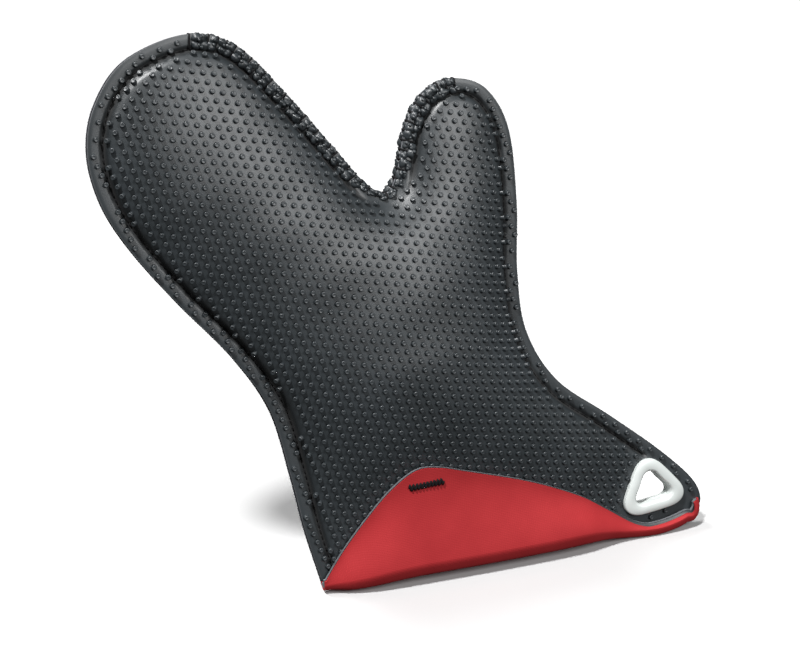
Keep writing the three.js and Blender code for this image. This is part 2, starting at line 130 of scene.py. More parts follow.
def fold_frame(fold):
    """A fold's middle, the way along it and the way up the hand from it."""
    start, end = np.array(fold["from"], float), np.array(fold["to"], float)
    along = (end - start) / np.linalg.norm(end - start)
    return (start + end) / 2, along, np.array([-along[1], along[0]])


def find_origin():
    """Where (0, 0, 0) of the mitt's plane is in the frame, from the finger joint's place."""
    joint = next(j for j in frame["joints"] if j["name"] == "finger_flex")
    middle = np.append(fold_frame(KNUCKLE)[0], 0)
    return np.array(joint["pos_m"]) - (place(middle) - ORIGIN)


ORIGIN = np.zeros(3)
ORIGIN = find_origin()


def smoothstep(x, low, high):
    t = np.clip((np.asarray(x, float) - low) / (high - low), 0, 1)
    return t * t * (3 - 2 * t)


def lerp(a, b, share):
    return a + (b - a) * share


def unit(vectors):
    return vectors / np.linalg.norm(vectors, axis=1)[:, None]


def inward(along):
    """The ways into the mitt, given the ways along its edge."""
    return np.column_stack([along[:, 1], -along[:, 0]])


def lengths(line):
    """How far along the line each of its points is."""
    return np.append(0, np.cumsum(np.linalg.norm(np.diff(line, axis=0), axis=1)))


def spots_along(line, at):
    """The line's points at the given distances along it."""
    length = lengths(line)
    return np.column_stack([np.interp(at, length, column) for column in line.T])


def resample(line, step):
    """The line with a point about every step millimetres."""
    line = np.asarray(line, float)
    length = lengths(line)[-1]
    return spots_along(line, np.linspace(0, length, max(2, round(length / step) + 1)))


def spline(points, step):
    """A smooth curve through the points, with a point about every step millimetres."""
    p = np.asarray(points, float)
    q = np.vstack([p[0], p, p[-1]])
    t = np.linspace(0, 1, 40, endpoint=False)[:, None]
    runs = [
        b + ((c - a) * t + (2 * a - 5 * b + 4 * c - d) * t**2 + (3 * b - a - 3 * c + d) * t**3) / 2
        for a, b, c, d in zip(q, q[1:], q[2:], q[3:])
    ]
    return resample(np.vstack([*runs, p[-1:]]), step)


def offset(line, distance):
    """The line moved towards the inside of the mitt, which is on its right."""
    return line + distance * inward(unit(np.gradient(line, axis=0)))


def inside(points, polygon):
    """Which points lie inside a polygon."""
    a, b = polygon, np.roll(polygon, -1, axis=0)
    hit = np.zeros(len(points), bool)
    for (ax, ay), (bx, by) in zip(a, b):
        crosses = (ay > points[:, 1]) != (by > points[:, 1])
        if crosses.any():
            reach = ax + (points[:, 1] - ay) / (by - ay if by != ay else 1) * (bx - ax)
            hit ^= crosses & (points[:, 0] < reach)
    return hit


def distance(points, line):
    """How far each point is from a line."""
    a, along = line[:-1], np.diff(line, axis=0)
    squared = (along**2).sum(1)
    nearest = []
    for some in np.array_split(points, len(points) // 4000 + 1):
        away = some[:, None] - a
        t = np.clip((away * along).sum(2) / squared, 0, 1)[..., None]
        nearest.append(np.sqrt(((away - t * along) ** 2).sum(2).min(1)))
    return np.concatenate(nearest)


def from_crotch(points):
    return np.linalg.norm(points - CROTCH, axis=1)


edge = spline(EDGE, 2)


def seam_line():
    follow = offset(spline(EDGE, 4), FLANGE)
    corner = np.argmax((follow[:, 0] > RING_CORNER[0]) & (follow[:, 1] < RING_CORNER[1]))
    turn = spline([follow[corner - 1], *RING_SEAM], 4)
    return np.vstack([follow[1:corner], turn[1:]])


seam = seam_line()


# ---- How far the panels bulge
class Field:
    """Values on a square grid over the mitt's plane."""

    low = np.array([-172.0, -26.0])
    high = np.array([172.0, 300.0])

    def __init__(self, step, values=None):
        self.step = step
        self.us = np.arange(self.low[0], self.high[0] + step, step)
        self.vs = np.arange(self.low[1], self.high[1] + step, step)
        self.values = values

    def points(self):
        return np.stack(np.meshgrid(self.us, self.vs), -1).reshape(-1, 2)

    def shaped(self, values):
        return values.reshape(len(self.vs), len(self.us))

    def at(self, points):
        x = np.clip((points[:, 0] - self.low[0]) / self.step, 0, len(self.us) - 1.001)
        y = np.clip((points[:, 1] - self.low[1]) / self.step, 0, len(self.vs) - 1.001)
        c, r = x.astype(int), y.astype(int)
        low = lerp(self.values[r, c], self.values[r, c + 1], x - c)
        high = lerp(self.values[r + 1, c], self.values[r + 1, c + 1], x - c)
        return lerp(low, high, y - r)


def around(values):
    """The mean of each point's four neighbours, mirrored at the grid's lower side."""
    padded = np.pad(values, 1)
    padded[0] = padded[2]
    return (padded[:-2, 1:-1] + padded[2:, 1:-1] + padded[1:-1, :-2] + padded[1:-1, 2:]) / 4


def membrane(step=2.5, sweeps=400, over_relax=1.92):
    """A membrane under even pressure, held along the seam and free at the cuff."""
    field = Field(step)
    far = field.low[1] - step
    bag = np.vstack([[seam[0][0] + 2, far], seam, [seam[-1][0], far]])
    points = field.points()
    free = field.shaped(inside(points, bag))
    checker = np.indices(free.shape).sum(0) % 2
    height = np.zeros(free.shape)
    for _ in range(sweeps):
        for colour in (0, 1):
            now = free & (checker == colour)
            height[now] += over_relax * (around(height) + step**2 / 4 - height)[now]
    field.values = height
    return field, bag


def smooth_membrane():
    """The membrane on a fine grid, rising evenly from the seam itself."""
    coarse, bag = membrane()
    coarse_reach = coarse.shaped(distance(coarse.points(), seam))
    known = (coarse.values > 0) & (coarse_reach > NEAR_SEAM["unknown"])
    ratio = np.where(known, coarse.values / np.maximum(coarse_reach, 1e-6), 0)
    weight = known.astype(float)
    for _ in range(NEAR_SEAM["rounds"]):
        ratio, weight = [np.where(known, x, around(x)) for x in (ratio, weight)]
    ratio = Field(coarse.step, np.where(weight > 0, ratio / np.maximum(weight, 1e-9), 0))
    fine = Field(1.0)
    points = fine.points()
    reach = distance(points, seam)
    near = ratio.at(points) * reach
    values = lerp(near, coarse.at(points), smoothstep(reach, *NEAR_SEAM["blend"]))
    values = fine.shaped(np.where(inside(points, bag), values, 0))
    soft = values
    for _ in range(SOFTENED["rounds"]):
        soft = around(soft)
    away = fine.shaped(smoothstep(from_crotch(points), *SOFTENED["span"]))
    fine.values = lerp(soft, values, away)
    return fine


bulge = smooth_membrane()


def puff(points, side):
    """Height of a panel's inner face above the middle plane."""
    share = smoothstep(points[:, 1], *PUFF_BLEND)
    strength = lerp(CUFF_PUFF[side], HAND_PUFF[side], share)
    return strength * (np.sqrt(bulge.at(points) + SEAM_SOFTNESS**2) - SEAM_SOFTNESS)


def slopes(height, points, side, probe):
    """How fast a face rises across the hand and up it."""
    return [
        (height(points + step, side) - height(points - step, side)) / (2 * probe)
        for step in (np.array([probe, 0]), np.array([0, probe]))
    ]


def facing(points, side, height, probe):
    """The way a face of the given height is turned, as unit vectors."""
    du, dv = slopes(height, points, side, probe)
    normal = unit(np.column_stack([-du, -dv, np.ones(len(points))]))
    normal[:, 2] *= side
    return normal


def steepness(points, side):
    """How much thicker a sloping panel is along w than square to its face."""
    du, dv = slopes(puff, points, side, 3.0)
    return np.minimum(STEEPEST, np.sqrt(1 + du**2 + dv**2))


def outer_face(points, side):
    return PARTING / 2 + puff(points, side) + PANEL * steepness(points, side)


# ---- The cuff's lines
slope = math.tan(LEAN)


def on_axis(u):
    return np.column_stack([u, np.zeros(len(u))])


def rise(u):
    return (RISE["middle"] * smoothstep(u, -60, -10) + RISE["dip"] * smoothstep(u, 90, 125)
            + RISE["curl"] * smoothstep(u, 140, 162))


def fold_clear(u):
    share = smoothstep(puff(on_axis(u), FRONT), 0, FOLD_CLEAR["puff"])
    return lerp(FOLD_CLEAR["ends"], FOLD_CLEAR["middle"], share)


def fold_line(u):
    """v of the front panel's fold, which comes down to the floor."""
    radius = fold_clear(u) / 2 + PANEL * steepness(on_axis(u), FRONT)
    centre = outer_face(on_axis(u), FRONT) + fold_clear(u) / 2
    return rise(u) + LIFT + radius - centre * slope


def back_edge(u):
    return outer_face(on_axis(u), BACK) * slope


# ---- Meshes
def add_object(name, data, location=(0, 0, 0), turn=(1, 0, 0, 0)):
    made = bpy.data.objects.new(name, data)
    made.rotation_mode = "QUATERNION"
    made.location, made.rotation_quaternion = location, turn
    bpy.context.scene.collection.objects.link(made)
    return made


def add_mesh(name, points, faces, materials, walls=0, cloth=None):
    """A mesh of points in the mitt's plane.

    Its last faces are walls, which aren't shaded smooth and have the last material.
    """
    mesh = bpy.data.meshes.new(name)
    mesh.from_pydata(place(points).tolist(), [], faces)
    for material in materials:
        mesh.materials.append(material)
    wall = np.arange(len(faces)) >= len(faces) - walls
    slots = np.where(wall, len(materials) - 1, 0).astype(np.int32)
    mesh.polygons.foreach_set("use_smooth", ~wall)
    mesh.polygons.foreach_set("material_index", slots)
    attribute = mesh.attributes.new("cloth", "FLOAT_VECTOR", "POINT")
    laid = np.asarray(points if cloth is None else cloth, np.float32) * MM
    attribute.data.foreach_set("vector", laid.ravel())
    mark_sharp(mesh, walls)
    return add_object(name, mesh)


def mark_sharp(mesh, walls):
    """Parts the shading of the walls from that of the smooth faces beside them."""
    sharp = np.zeros(len(mesh.edges), bool)
    for wall in mesh.polygons[len(mesh.polygons) - walls:]:
        sharp[[mesh.loops[i].edge_index for i in wall.loop_indices]] = True
    mesh.attributes.new("sharp_edge", "BOOLEAN", "EDGE").data.foreach_set("value", sharp)


def share_normals(mesh, facings, walls):
    """Shades the faces by the whole panel's shape, so that nothing shows where it is parted."""
    corners = np.empty(len(mesh.loops), np.int32)
    mesh.loops.foreach_get("vertex_index", corners)
    normals = ((place(facings) - place((0, 0, 0))) / MM)[corners]
    for face in mesh.polygons[-walls:]:
        normals[list(face.loop_indices)] = face.normal
    mesh.normals_split_custom_set(normals.tolist())


def border_of(triangles):
    """The edges that only one triangle has, in its own direction."""
    ends = np.vstack([triangles[:, [0, 1]], triangles[:, [1, 2]], triangles[:, [2, 0]]])
    own = set(map(tuple, ends.tolist()))
    return np.array([(a, b) for a, b in ends.tolist() if (b, a) not in own])


def closed_layer(points, triangles, low, high, side):
    """A closed skin between two heights over the same triangles, and how many faces are walls."""
    n = len(points)
    both = np.vstack([np.column_stack([points, side * height]) for height in (low, high)])
    rim = border_of(triangles)
    faces = [*(triangles + n).tolist(), *triangles[:, ::-1].tolist()]
    walls = np.column_stack([rim[:, 0], rim[:, 1], rim[:, 1] + n, rim[:, 0] + n]).tolist()
    faces += walls
    if side < 0:
        faces = [face[::-1] for face in faces]
    return both, faces, len(walls)


def grid_solid(inner, outer):
    """A closed sheet between two grids of points, and how many faces are walls."""
    rows, columns = inner.shape[:2]
    points = np.vstack([inner.reshape(-1, 3), outer.reshape(-1, 3)])
    at = np.arange(2 * rows * columns).reshape(2, rows, columns)

    def quads(a, b, c, d):
        return np.stack([x.ravel() for x in (a, b, c, d)], -1).tolist()

    lo, hi = at
    faces = quads(hi[:-1, :-1], hi[1:, :-1], hi[1:, 1:], hi[:-1, 1:])
    faces += quads(lo[:-1, :-1], lo[:-1, 1:], lo[1:, 1:], lo[1:, :-1])
    walls = quads(lo[:-1, 0], lo[1:, 0], hi[1:, 0], hi[:-1, 0])
    walls += quads(lo[:-1, -1], hi[:-1, -1], hi[1:, -1], lo[1:, -1])
    walls += quads(lo[0, :-1], hi[0, :-1], hi[0, 1:], lo[0, 1:])
    walls += quads(lo[-1, :-1], lo[-1, 1:], hi[-1, 1:], hi[-1, :-1])
    return points, faces + walls, len(walls)


def ring_faces(rings, sides):
    """The faces between one ring of points and the next."""
    at = np.arange(rings * sides).reshape(rings, sides)
    turned = np.roll(at, -1, axis=1)
    return np.stack([at[:-1], turned[:-1], turned[1:], at[1:]], -1).reshape(-1, 4).tolist()


def tube(path, radius, sides):
    """A round thread along the path, closed at both ends."""
    path = np.asarray(path, float)
    along = unit(np.gradient(path, axis=0))
    radius = np.broadcast_to(radius, len(path))
    angles = np.linspace(0, 2 * math.pi, sides, endpoint=False)
    across = np.array([0.0, 0.0, 1.0])
    points = []
    for point, way, r in zip(path, along, radius):
        across = across - way * (across @ way)
        if np.linalg.norm(across) < 1e-3:
            across = np.cross(way, (1.0, 0.3, 0.2))
        across /= np.linalg.norm(across)
        third = np.cross(way, across)
        circle = np.cos(angles)[:, None] * across + np.sin(angles)[:, None] * third
        points.append(point + r * circle)
    end = (len(path) - 1) * sides
    caps = [list(range(sides))[::-1], list(range(end, end + sides))]
    return np.vstack(points), ring_faces(len(path), sides) + caps


def together(shapes):
    """Several (points, faces) as one."""
    points, faces, count = [], [], 0
    for some, theirs in shapes:
        points.append(some)
        faces += [[i + count for i in face] for face in theirs]
        count += len(some)
    return np.vstack(points), faces


# ---- Panels
def height_over(fold, points):
    middle, _, up = fold_frame(fold)
    return (points - middle) @ up


def on_thumb(points):
    """Which points belong to the thumb's piece; the rest is the palm and fingers' piece."""
    over = height_over(THUMB_BASE, points) > -(THUMB_BASE["half"] + 2)
    return over & (points[:, 0] > CROTCH_U)


def split(points):
    """Which points belong to each piece, by its name."""
    thumb = on_thumb(points)
    return ("main", ~thumb), ("thumb", thumb)


def thumb_cut():
    """The line that parts the two pieces: down from the crotch, then across to the edge."""
    middle, along, up = fold_frame(THUMB_BASE)
    start = middle - up * (THUMB_BASE["half"] + 2)
    reach = (CROTCH_U - start[0]) / along[0]
    corner = start + along * reach
    across = corner + along * np.arange(0, 120, 3)[:, None]
    down = np.column_stack([np.full(8, CROTCH_U), np.linspace(210, corner[1], 8)])
    return np.vstack([down[:-1], across])


def hexagons(step):
    """Points in rows, each row half a step along from the last."""
    us = np.arange(Field.low[0], Field.high[0], step)
    vs = np.arange(Field.low[1], Field.high[1], step * math.sqrt(3) / 2)
    grid = np.stack(np.meshgrid(us, vs), -1)
    grid[1::2, :, 0] += step / 2
    return grid.reshape(-1, 2)


def chain(count, start=0):
    return [(start + i, start + i + 1) for i in range(count - 1)]


def kept_lines(border):
    """The lines a panel's mesh keeps, which are its border, hole and cut, and their links."""
    hole = ring_outline(SEAT, SHARP["barrel"])
    hole = resample(np.vstack([hole, hole[:1]]), 1.5)[:-1]
    cut = thumb_cut()
    cut = cut[inside(cut, border) & (distance(cut, border) > 0.7)]
    ends = [border[np.argmin(((border - cut[k]) ** 2).sum(1))] for k in (0, -1)]
    cut = np.vstack([ends[0], cut, ends[1]])
    count, total = len(border), len(border) + len(hole)
    links = [*chain(count), (count - 1, 0), *chain(len(hole), count), (total - 1, count)]
    return border, hole, cut, links + chain(len(cut), total)


def edge_rows(rim, border, cut, inset, rows):
    """Rows of points along a panel's edge, clear of its cut and its hole."""
    for row in rows:
        line = offset(edge, inset + row)
        line = line[inside(line, border)]
        clear = distance(line, rim) > row - 0.05
        clear &= ~inside(line, ring_outline(SEAT + 1, SHARP["barrel"]))
        yield line[clear & (distance(line, cut) > 0.8)]


def even_points(border, cuff, cut, margin, step):
    """Evenly spread points over the rest of a panel."""
    spread = hexagons(step)
    spread = spread[inside(spread, border)]
    clear = (distance(spread, edge) > margin) & (distance(spread, cut) > step / 2)
    clear &= distance(spread, cuff) > step / 2
    clear &= ~inside(spread, ring_outline(SEAT + 1.5, SHARP["barrel"]))
    return spread[clear]


def mesh_panel(cuff, inset, rows, step):
    """Points and triangles over a panel: rows of points along its edge, then even rows."""
    rim = offset(edge, inset)
    rim = rim[rim[:, 1] > np.interp(rim[:, 0], cuff[:, 0], cuff[:, 1]) + 0.5]
    border, hole, cut, links = kept_lines(np.vstack([rim, cuff[::-1]]))
    points = np.vstack([
        border, hole, cut, *edge_rows(rim, border, cut, inset, rows),
        even_points(border, cuff, cut, inset + rows[-1] + step / 2, step)])
    found = delaunay_2d_cdt([Vector(p) for p in points], links, [], 0, 1e-4, False)
    points = np.array([tuple(p) for p in found[0]])
    triangles = np.array([face for face in found[2] if len(face) == 3])
    centres = points[triangles].mean(1)
    return points, triangles[inside(centres, border) & ~inside(centres, hole)]


def parted(points, triangles):
    """The mesh as its main piece and its thumb piece, each with only its own points."""
    for name, mine in split(points[triangles].mean(1)):
        used, renumbered = np.unique(triangles[mine], return_inverse=True)
        yield name, points[used], renumbered.reshape(-1, 3)


groove_line = offset(spline(EDGE, 1.5), FLANGE)


def gather_width(points):
    """How far in from the edge the sewn-over band reaches."""
    far = smoothstep(from_crotch(points), GATHER["from"], GATHER["to"])
    return lerp(GATHER["narrow"], GATHER["wide"], far)


def ring_outline(size, sharp, count=72):
    angle = np.linspace(0, 2 * math.pi, count, endpoint=False)
    corner = 3 * (angle - math.radians(RING["turn"]))
    r = size * (1 + sharp * np.cos(corner) + 0.02 * np.cos(2 * corner))
    return np.column_stack([
        RING["u"] + r * RING["wide"] * np.cos(angle), RING["v"] + r * RING["tall"] * np.sin(angle)])


def waves(points, side):
    """Slow unevenness of the rubber, as it never lies quite true."""
    u, v = points.T / 1000
    return WAVES * (
        np.sin(61 * u + 38 * v + 1.3 * side) * np.sin(47 * v - 22 * u + 0.7)
        + 0.5 * np.sin(112 * u - 87 * v + 2.1 * side) * np.sin(95 * v + 41 * u))


def groove_share(points):
    """1 in the sewn groove and 0 away from it; it runs out under the ring and at the crotch."""
    far = distance(points, groove_line)
    ring = ring_outline(RING_SIZE["outer"], SHARP["outer"])
    share = np.where(inside(points, ring), 0, smoothstep(distance(points, ring), 0, 4))
    share = share * smoothstep(points[:, 1], -4, 6) * smoothstep(from_crotch(points), 7, 22)
    right = (points[:, 0] > RING["u"]) & (points[:, 1] < RING["v"] + GROOVE["over_ring"])
    return np.exp(-((far / GROOVE["width"]) ** 2)) * np.where(right, 0, share)


def skin_top(points, side):
    """Height of the rubber's outer face, between its pegs."""
    height = outer_face(points, side)
    far = distance(points, edge)
    free = smoothstep(bulge.at(points), 4, 120)
    height = height + waves(points, side) * free - GROOVE["depth"] * groove_share(points)
    return height - ROUNDED["drop"] * (1 - smoothstep(far, 0, ROUNDED["reach"]))


def cuff_points(line, step):
    u = np.arange(-60.6, 156.5 + step / 2, step)
    return np.column_stack([u, line(u)])


SKIN_ROWS = (0.8, 2.5, 4.8, 6.6, 7.5, 8.4, 9.8, 11.8, 14.2)
LINING_ROWS = (3, 6.2, 10)
PANELS = {"front": (FRONT, lambda u: fold_line(u) - LIFT), "back": (BACK, back_edge)}


def make_skins(looks):
    made = {}
    for name, (side, cuff) in PANELS.items():
        panel = mesh_panel(cuff_points(cuff, 2.5), 0, SKIN_ROWS, 3)
        for part, own, faces in parted(*panel):
            high = skin_top(own, side)
            low = PARTING / 2 + puff(own, side) + (LINING + BOND) * steepness(own, side)
            low = np.minimum(low, high - THINNEST)
            solid, polygons, walls = closed_layer(own, faces, low, high, side)
            skin = add_mesh(
                f"rubber_skin_{name}_{part}", solid, polygons, [looks["rubber"], looks["cut"]],
                walls)
            # This attribute holds painted shade: how much the rubber's colour is darkened to near
            # black along the sewn groove, where shadow falls in the crease.
            painted_groove_shade = skin.data.attributes.new("painted_groove_shade", "FLOAT", "POINT")
            shade = groove_share(own) ** GROOVE["shade"]
            painted_groove_shade.data.foreach_set("value", np.tile(shade, 2).astype(np.float32))
            facings = facing(own, side, skin_top, 0.7)
            share_normals(skin.data, np.vstack([-facings, facings]), walls)
            made[part, name] = skin
    return made


def make_linings(looks):
    made = {}
    for name, (side, cuff) in PANELS.items():
        panel = mesh_panel(cuff_points(cuff, 4) + (0, 0.6), 1.8, LINING_ROWS, 5)
        for part, own, faces in parted(*panel):
            low = PARTING / 2 + puff(own, side)
            high = low + LINING * steepness(own, side)
            solid, polygons, walls = closed_layer(own, faces, low, high, side)
            made[part, name] = add_mesh(
                f"lining_{name}_{part}", solid, polygons, [looks["knit"]], walls)
    return made


# ---- Pegs
# (radius, height) of the loops round a peg and the heights of its two ends, as shares of its size
PEG_PROFILE = [(1.2, -0.15), (1.0, 0.16), (0.93, 0.78), (0.8, 0.97), (0.55, 0.9)]
PEG_ENDS = (0.86, -0.15)


def lattice():
    """Where the pegs stand: rows a little off level, as the mould has them."""
    turn, pitch = PEG["turn"], PEG["pitch"]
    rows = np.array([
        (math.cos(turn), math.sin(turn)),
        (math.cos(turn - math.pi / 3), math.sin(turn - math.pi / 3)),
    ]) * pitch
    i, j = [x.ravel() for x in np.meshgrid(np.arange(-110, 110), np.arange(-90, 90))]
    points = np.array([0.0, 130.0]) + np.column_stack([i, j]) @ rows * (1, ROW_SQUEEZE)
    low, high = Field.low, Field.high
    return points[((points > low) & (points < high)).all(1)]


def peg_places(cuff):
    """The pegs of a panel, which stand clear of its edges, seam, lip and ring."""
    points = lattice()
    points = points[inside(points, np.vstack([edge, cuff[::-1]]))]
    far = distance(points, edge)
    plain = from_crotch(points) < GATHER["to"]
    lip = cuff_fold(np.arange(*LIP["span"], 1.5))
    ring = ring_outline(RING_SIZE["outer"] + PEG_CLEAR["ring"], SHARP["outer"])
    keep = far > PEG_CLEAR["edge"]
    keep &= plain | (distance(points, groove_line) > PEG_CLEAR["groove"])
    keep &= distance(points, cuff) > PEG_CLEAR["cuff"]
    keep &= distance(points, lip) > LIP["most"] + PEG_CLEAR["lip"]
    keep &= ~(whipped(points) & (far < gather_width(points) + PEG_CLEAR["gather"]))
    return points[keep & ~inside(points, ring)]


def pegs_on(points, side):
    """One (points, faces) for all pegs, each square to the panel."""
    count, sides = len(points), PEG["sides"]
    base = np.column_stack([points, side * skin_top(points, side)])
    normal = facing(points, side, outer_face, 1.5)
    across = unit(np.cross(normal, (0.0, 1.0, 0.0)))
    third = np.cross(normal, across)
    angles = np.linspace(0, 2 * math.pi, sides, endpoint=False)
    rings = []
    for share, up in PEG_PROFILE:
        radius = PEG["radius"] * share
        circle = np.cos(angles)[:, None, None] * across + np.sin(angles)[:, None, None] * third
        rings.append(base + radius * circle + PEG["height"] * up * normal)
    solid = np.stack(rings).transpose(2, 0, 1, 3).reshape(count, -1, 3)
    ends = [(base + PEG["height"] * up * normal)[:, None] for up in PEG_ENDS]
    solid = np.concatenate([solid, *ends], axis=1)
    faces = ring_faces(len(PEG_PROFILE), sides)
    stride = solid.shape[1]
    last, top, under = stride - 2 - sides, stride - 2, stride - 1
    for k in range(sides):
        after = (k + 1) % sides
        faces += [(last + k, last + after, top), (after, k, under)]
    all_faces = [[i + stride * k for i in face] for k in range(count) for face in faces]
    return solid.reshape(-1, 3), all_faces


def make_pegs(looks):
    made = {}
    for name, (side, cuff) in PANELS.items():
        places = peg_places(cuff_points(cuff, 2.5))
        for part, mine in split(places):
            made[part, name] = add_mesh(
                f"grip_pegs_{name}_{part}", *pegs_on(places[mine], side), [looks["rubber"]])
    return made


# ---- The turned-up cuff
FOLD_STEPS, FLAP_STEPS = 14, 16
FOLD_SHAPE = [(0, -1), (0.3, -1), (0.55, -0.88), (0.8, -0.5), (1.0, -0.08), (1, 0)]
EASE = (-12, -8, -4, 0, 4, 8, 12)
# Rubber left showing along the turned-up edge: at its left and at its right, and where it ends
BARE = {"left": 0.4, "right": 1.7, "span": (85, 125), "ends": (156, 161)}
CORNER = {
    "from": 150, "turns": (132, 150),
    "line": [(153.6, 5.9), (155.4, 8.7), (155.7, 12.0), (154.6, 15.2), (152.9, 17.4)],
}
# How far the cuff is turned over round its right corner
LIP = {"most": 3.4, "least": 1.0, "span": (130, 162), "grows": (115, 140), "fades": (152, 162)}
SHUT = {"right": (144, 160), "left": (-62, -46), "least": 0.35}  # where the fold closes up


def eased(values, u):
    """values(u), smoothed along the cuff, as the cloth takes no sharp turn there."""
    return np.mean([values(u + step) for step in EASE], axis=0)


def eased_face(u, v):
    return eased(lambda at: outer_face(np.column_stack([at, v]), FRONT), u)


def eased_steepness(u):
    return eased(lambda at: steepness(on_axis(at), FRONT), u)


def cuff_fold(along):
    """Points of the fold's line, which turns up round the mitt's right corner."""
    straight = np.column_stack([along, eased(fold_line, along) - LIFT])
    start = (CORNER["from"], eased(fold_line, np.array([CORNER["from"]]))[0] - LIFT)
    past = along - CORNER["from"]
    round_it = spots_along(spline([start, *CORNER["line"]], 0.25), past)
    return np.where((past > 0)[:, None], round_it, straight)


def cuff_way(along):
    """The way out of the cuff at its fold: down, and square to the fold at its right end."""
    square = inward(cuff_fold(along + 1.5) - cuff_fold(along - 1.5)) / 3
    return unit(lerp(np.array([0.0, -1.0]), square, smoothstep(along, *CORNER["turns"])[:, None]))


def cuff_clear(along):
    """Space inside the fold; it closes up at the cuff's two ends."""
    shut = smoothstep(along, *SHUT["right"]) + 1 - smoothstep(along, *SHUT["left"])
    return eased(fold_clear, along) * lerp(1, SHUT["least"], shut)


def roll(radius):
    """The fold's section as (down, out) pairs in turn, from the palm round to its crease."""
    back = np.linspace(math.pi, 1.5 * math.pi, FOLD_STEPS // 2, endpoint=False)
    pairs = [(-math.sin(angle), math.cos(angle)) for angle in back]
    front = resample(spline(FOLD_SHAPE, 0.02), 1.6 / (FOLD_STEPS // 2))
    return [(radius * down, radius * out) for down, out in pairs + [(-y, x) for x, y in front]]


def flap_out(u, v, share, depth, clear):
    """Height of the turned-up part over the mitt's plane."""
    space = lerp(clear, TUCK, smoothstep(share, 0, 1))
    return eased_face(u, v) + space + depth * eased_steepness(u)


def turn_up(stations, depth, bare):
    """One face of the cuff: round the fold and up outside the palm, station by station.

    bare is how far short of the cuff's upper edge it stops.
    """
    along, top = stations.T
    fold, way, clear = cuff_fold(along), cuff_way(along), cuff_clear(along)
    radius = clear / 2 + depth * eased_steepness(fold[:, 0])
    centre = eased_face(*fold.T) + clear / 2
    rows = [
        np.column_stack([fold + way * down[:, None], centre + out]) for down, out in roll(radius)]
    least = lerp(FLAP_LEAST, LIP["most"], smoothstep(along, *LIP["grows"]))
    least = lerp(least, LIP["least"], smoothstep(along, *LIP["fades"]))
    height = np.maximum(top - fold[:, 1], least) - bare
    for share in (0.012, 0.03, *np.linspace(0, 1, FLAP_STEPS + 1)[1:]):
        spot = fold - way * (height * share)[:, None]
        rows.append(np.column_stack([spot, flap_out(*spot.T, share, depth, clear)]))
    return np.stack(rows)


def arc_cloth(grid):
    """Each point's place on the cloth before it was turned up: along, and round the fold."""
    steps = np.linalg.norm(np.diff(grid, axis=0), axis=2)
    up = np.vstack([np.zeros(grid.shape[1]), np.cumsum(steps, axis=0)])
    return np.stack([grid[..., 0], -up, np.zeros(up.shape)], -1)


def bare_rubber(along):
    """How far the lining stops short of the turned-up edge."""
    bare = lerp(BARE["left"], BARE["right"], smoothstep(along, *BARE["span"]))
    return bare * (1 - smoothstep(along, *BARE["ends"]))


def make_cuff(looks):
    stations = spline([(-61.5, 5), *FLAP_EDGE[1:-1], (151, 3), (LIP["span"][1], 3)], 1.7)
    layers = {
        "skin": (0, SKIN, 0, "rubber", "cut"),
        "lining": (SKIN + BOND, PANEL, bare_rubber(stations[:, 0]), "knit", "knit"),
    }
    made = {}
    for name, (inner, outer, bare, *names) in layers.items():
        faces = [turn_up(stations, depth, bare) for depth in (inner, outer)]
        cloth = np.vstack([arc_cloth(grid).reshape(-1, 3) for grid in faces])
        points, polygons, walls = grid_solid(*faces)
        made[name] = add_mesh(
            f"turned_cuff_{name}_cloth", points, polygons, [looks[look] for look in names],
            walls, cloth)
    return made


# ---- The hanging ring
def ring_profile(side):
    """(size, sharpness, height) of the loops round the section of one half of the ring."""
    low = PARTING / 2 + PANEL + LIFT
    high = low + RING_SIZE["plate"]
    outer, hole, barrel = RING_SIZE["outer"], RING_SIZE["hole"], RING_SIZE["barrel"]
    plate = [(outer, low), (outer, high - 1.0), (outer - 0.25, high - 0.45), (outer - 0.8, high)]
    bore = [
        (hole + 1.5, high), (hole + 0.9, high - 0.25), (hole + 0.35, high - 1.0),
        (hole, high - 1.9), (hole, -low)]
    foot = [(barrel, -low), (barrel, low)]
    if side == BACK:
        bore = [(SEAT, high), (SEAT, high - 0.25)]
        foot = [(SEAT, high - 0.25), (SEAT, low)]
    return [
        (size, SHARP[name], height)
        for name, loops in (("outer", plate), ("hole", bore), ("barrel", foot))
        for size, height in loops]


def make_ring(name, side, looks, count=96):
    loops = [
        np.column_stack([ring_outline(size, sharp, count), np.full(count, side * height)])
        for size, sharp, height in ring_profile(side)]
    at = np.arange(len(loops) * count).reshape(-1, count)
    turned, up = np.roll(at, -1, axis=1), np.roll(at, -1, axis=0)
    faces = np.stack([at, turned, np.roll(turned, -1, axis=0), up], -1).reshape(-1, 4)
    made = add_mesh(name, np.vstack(loops), faces[:, ::side].tolist(), [looks["plastic"]])
    made.data.set_sharp_from_angle(angle=math.radians(50))
    return made


# ---- Threads
WHIP = {"step": 4.9, "short": 0.5, "lowest": 195, "radius": 0.6}
STITCH = {"length": 3.0, "step": 3.4, "radius": 0.5, "lift": 0.25, "lowest": 6, "ring": (112, 44)}
TOOTH = {"count": 10, "radius": 0.58, "slope": 0.06}
FINGER_TOP, THUMB_TOP = EDGE[11], EDGE[20]


def whipped(points):
    """Which points lie along the stretch of edge that is sewn over."""
    between = (points[:, 0] > FINGER_TOP[0]) & (points[:, 0] < THUMB_TOP[0])
    return between & (points[:, 1] > WHIP["lowest"])


